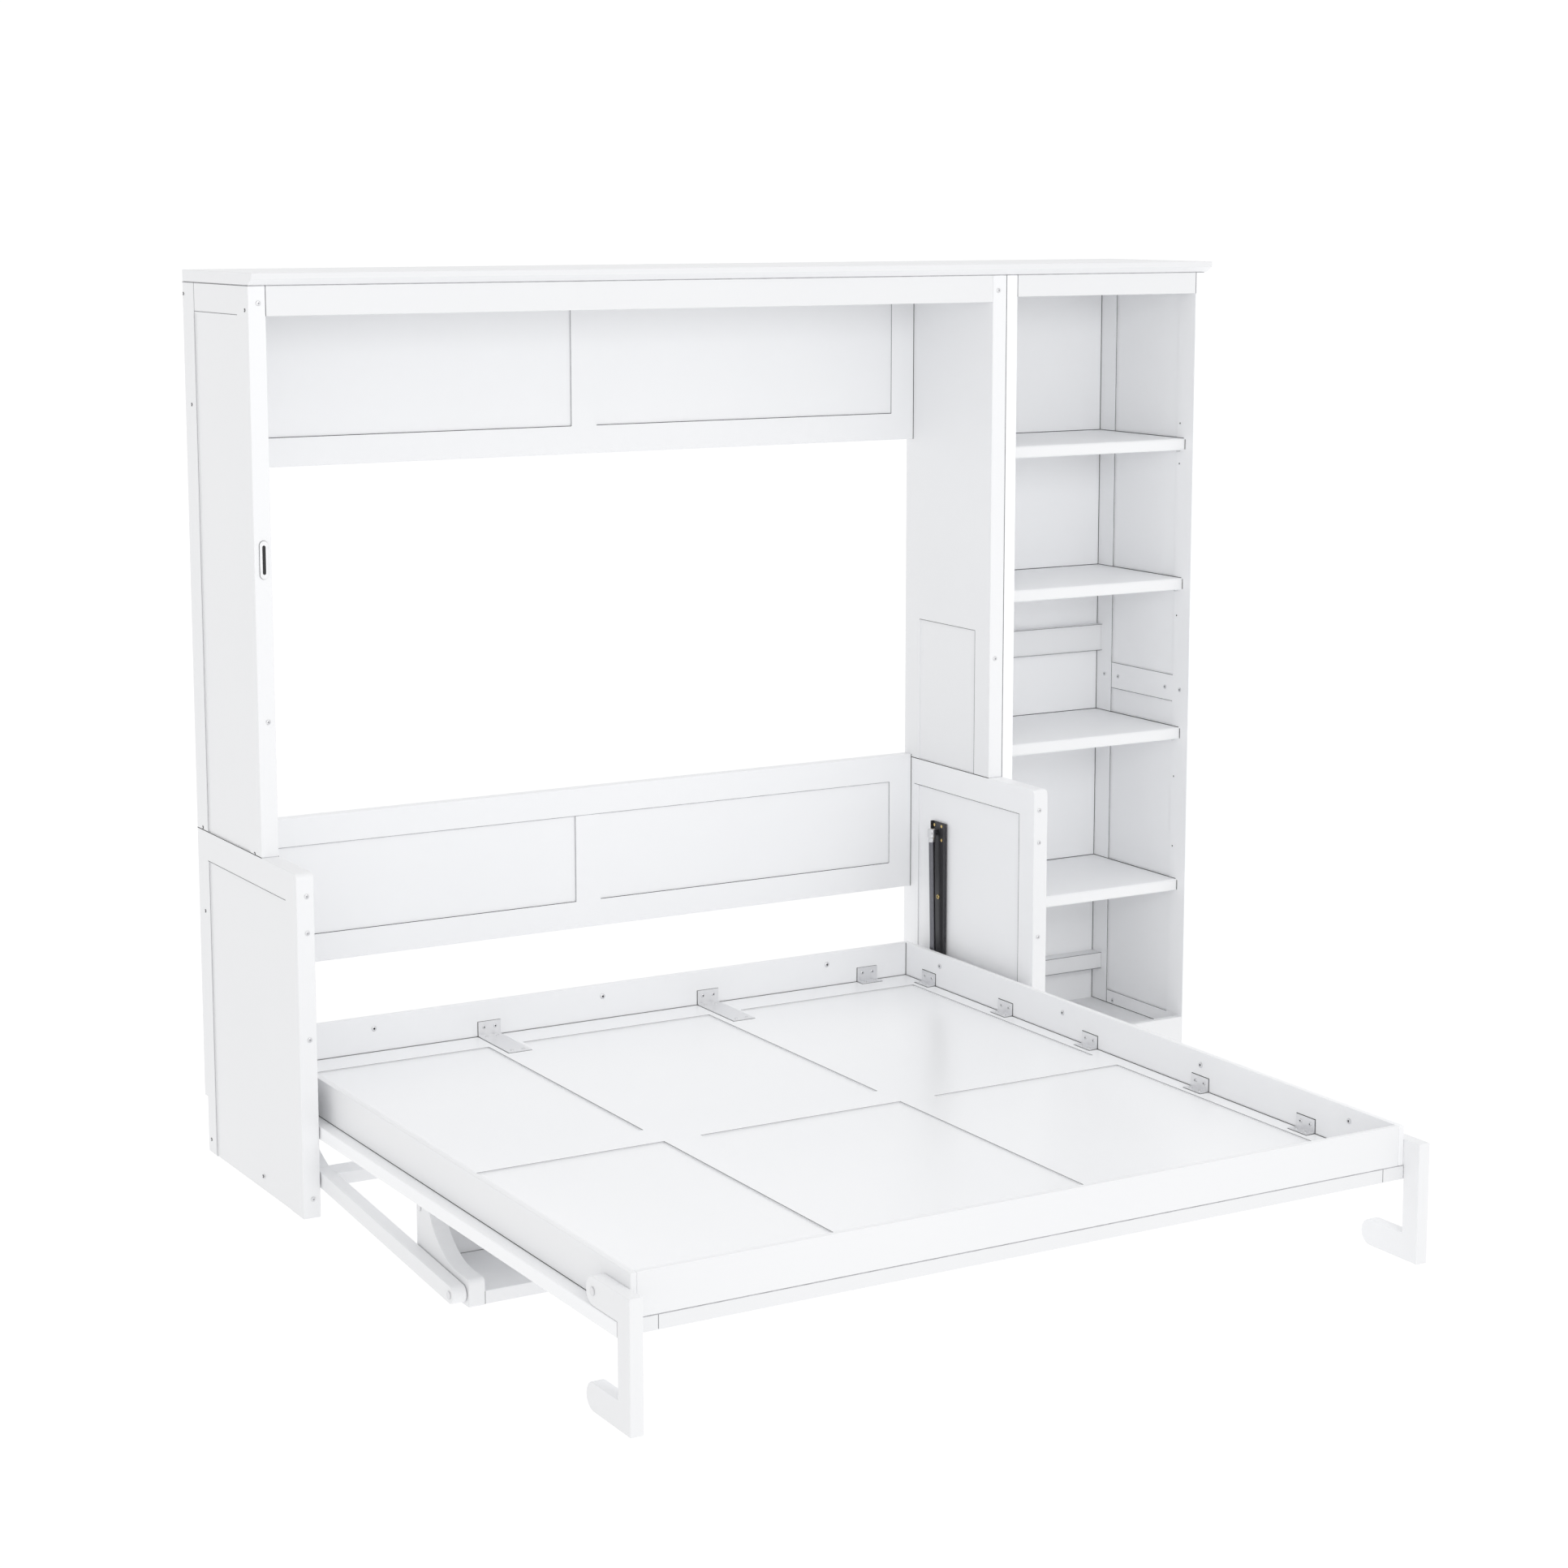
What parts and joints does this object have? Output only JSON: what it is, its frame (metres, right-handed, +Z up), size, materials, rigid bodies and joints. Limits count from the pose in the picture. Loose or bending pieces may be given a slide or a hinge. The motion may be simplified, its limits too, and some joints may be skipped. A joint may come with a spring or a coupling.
{
  "type": "murphy wall bed",
  "caption": "Wall bed that folds up about its head end into a panelled cabinet, with a desk that stays level beneath it and an open shelf tower at one side.",
  "frame": {"origin": "middle of the footprint on the floor, with the bed down", "axes": "+X right, +Y back towards the wall, +Z up; the bed folds down towards -Y"},
  "size_m": [2.774, 2.216, 2.2],
  "materials": {
    "white_paint": "satin white paint on board",
    "plated_steel": "zinc-plated",
    "black_metal": "satin black"
  },
  "bodies": {
    "cabinet": {"crown_board": "white_paint", "front_top_rail": "white_paint", "latch_plate": "plated_steel", "left_bed_hinge_pin": "plated_steel", "left_link_anchor_pin": "plated_steel", "left_lower_side": "white_paint", "left_strut_channel": "black_metal", "left_upper_side": "white_paint", "lower_back_panel": "white_paint", "partition_lower": "white_paint", "partition_upper": "white_paint", "right_bed_hinge_pin": "plated_steel", "right_link_anchor_pin": "plated_steel", "right_strut_channel": "black_metal", "tower_back_panel": "white_paint", "tower_back_rail_lower": "white_paint", "tower_back_rail_upper": "white_paint", "tower_bottom_shelf": "white_paint", "tower_left_side": "white_paint", "tower_right_side": "white_paint", "tower_shelf_1": "white_paint", "tower_shelf_2": "white_paint", "tower_shelf_3": "white_paint", "tower_shelf_4": "white_paint", "tower_toe_board": "white_paint", "tower_top_rail": "white_paint", "upper_back_panel": "white_paint"},
    "bed": {"bed_deck": "white_paint", "left_bed_rail": "white_paint", "right_bed_rail": "white_paint", "back_bed_rail": "white_paint", "front_bed_rail": "white_paint", "back_rail_angle_1": "plated_steel", "back_rail_angle_2": "plated_steel", "back_rail_angle_3": "plated_steel", "left_bed_hinge_hub": "plated_steel", "right_bed_hinge_hub": "plated_steel", "left_desk_hanger": "white_paint", "right_desk_hanger": "white_paint", "left_desk_hanger_bolt": "plated_steel", "right_desk_hanger_bolt": "plated_steel", "left_leg_bolt": "plated_steel", "right_leg_bolt": "plated_steel", "left_strut_lever": "plated_steel", "right_strut_lever": "plated_steel"},
    "desk": {"left_desk_bracket": "white_paint", "right_desk_bracket": "white_paint", "desk_top": "white_paint", "desk_back_panel": "white_paint"},
    "links": {"left_link_arm": "white_paint", "right_link_arm": "white_paint", "link_cross_rail": "white_paint", "left_link_front_bolt": "plated_steel", "right_link_front_bolt": "plated_steel"},
    "leg_left": {"left_leg": "white_paint"},
    "leg_right": {"right_leg": "white_paint"},
    "strut_left": {"left_strut_cylinder": "black_metal"},
    "strut_right": {"right_strut_cylinder": "black_metal"},
    "rod_left": {"left_strut_rod": "plated_steel"},
    "rod_right": {"right_strut_rod": "plated_steel"}
  },
  "joints": [
    {"name": "bed_fold", "type": "hinge", "parent": "cabinet", "child": "bed", "pos_m": [-0.3305, 0.788, 0.24], "axis": [-1, 0, 0], "range_deg": [0, 90]},
    {"name": "desk_level", "type": "hinge", "parent": "bed", "child": "desk", "pos_m": [-0.3305, -0.036, 0.156], "axis": [1, 0, 0], "range_deg": [0, 90]},
    {"name": "link_swing", "type": "hinge", "parent": "cabinet", "child": "links", "pos_m": [-0.3305, 0.557, 0.114], "axis": [-1, 0, 0], "range_deg": [0, 90]},
    {"name": "leg_left_fold", "type": "hinge", "parent": "bed", "child": "leg_left", "pos_m": [-1.32515, -0.952, 0.249], "axis": [-1, 0, 0], "range_deg": [0, 180]},
    {"name": "leg_right_fold", "type": "hinge", "parent": "bed", "child": "leg_right", "pos_m": [0.66415, -0.952, 0.249], "axis": [-1, 0, 0], "range_deg": [0, 180]},
    {"name": "strut_left_swing", "type": "hinge", "parent": "cabinet", "child": "strut_left", "pos_m": [-1.325, 0.92, 0.634], "axis": [-1, 0, 0], "range_deg": [0, 12]},
    {"name": "strut_right_swing", "type": "hinge", "parent": "cabinet", "child": "strut_right", "pos_m": [0.664, 0.92, 0.634], "axis": [-1, 0, 0], "range_deg": [0, 12]},
    {"name": "strut_left_extend", "type": "slide", "parent": "strut_left", "child": "rod_left", "axis": [0, -0.031, -0.9995], "range_m": [0, 0.143]},
    {"name": "strut_right_extend", "type": "slide", "parent": "strut_right", "child": "rod_right", "axis": [0, -0.031, -0.9995], "range_m": [0, 0.143]}
  ],
  "couplings": [
    {"joint": "desk_level", "follows": "bed_fold", "ratio": 1},
    {"joint": "link_swing", "follows": "bed_fold", "ratio": 1},
    {"joint": "leg_left_fold", "follows": "bed_fold", "ratio": 2},
    {"joint": "leg_right_fold", "follows": "bed_fold", "ratio": 2},
    {"joint": "strut_left_swing", "follows": "bed_fold", "ratio": 0.13214},
    {"joint": "strut_right_swing", "follows": "bed_fold", "ratio": 0.13214},
    {"joint": "strut_left_extend", "follows": "bed_fold", "m_per_rad": 0.09027},
    {"joint": "strut_right_extend", "follows": "bed_fold", "m_per_rad": 0.09027}
  ]
}
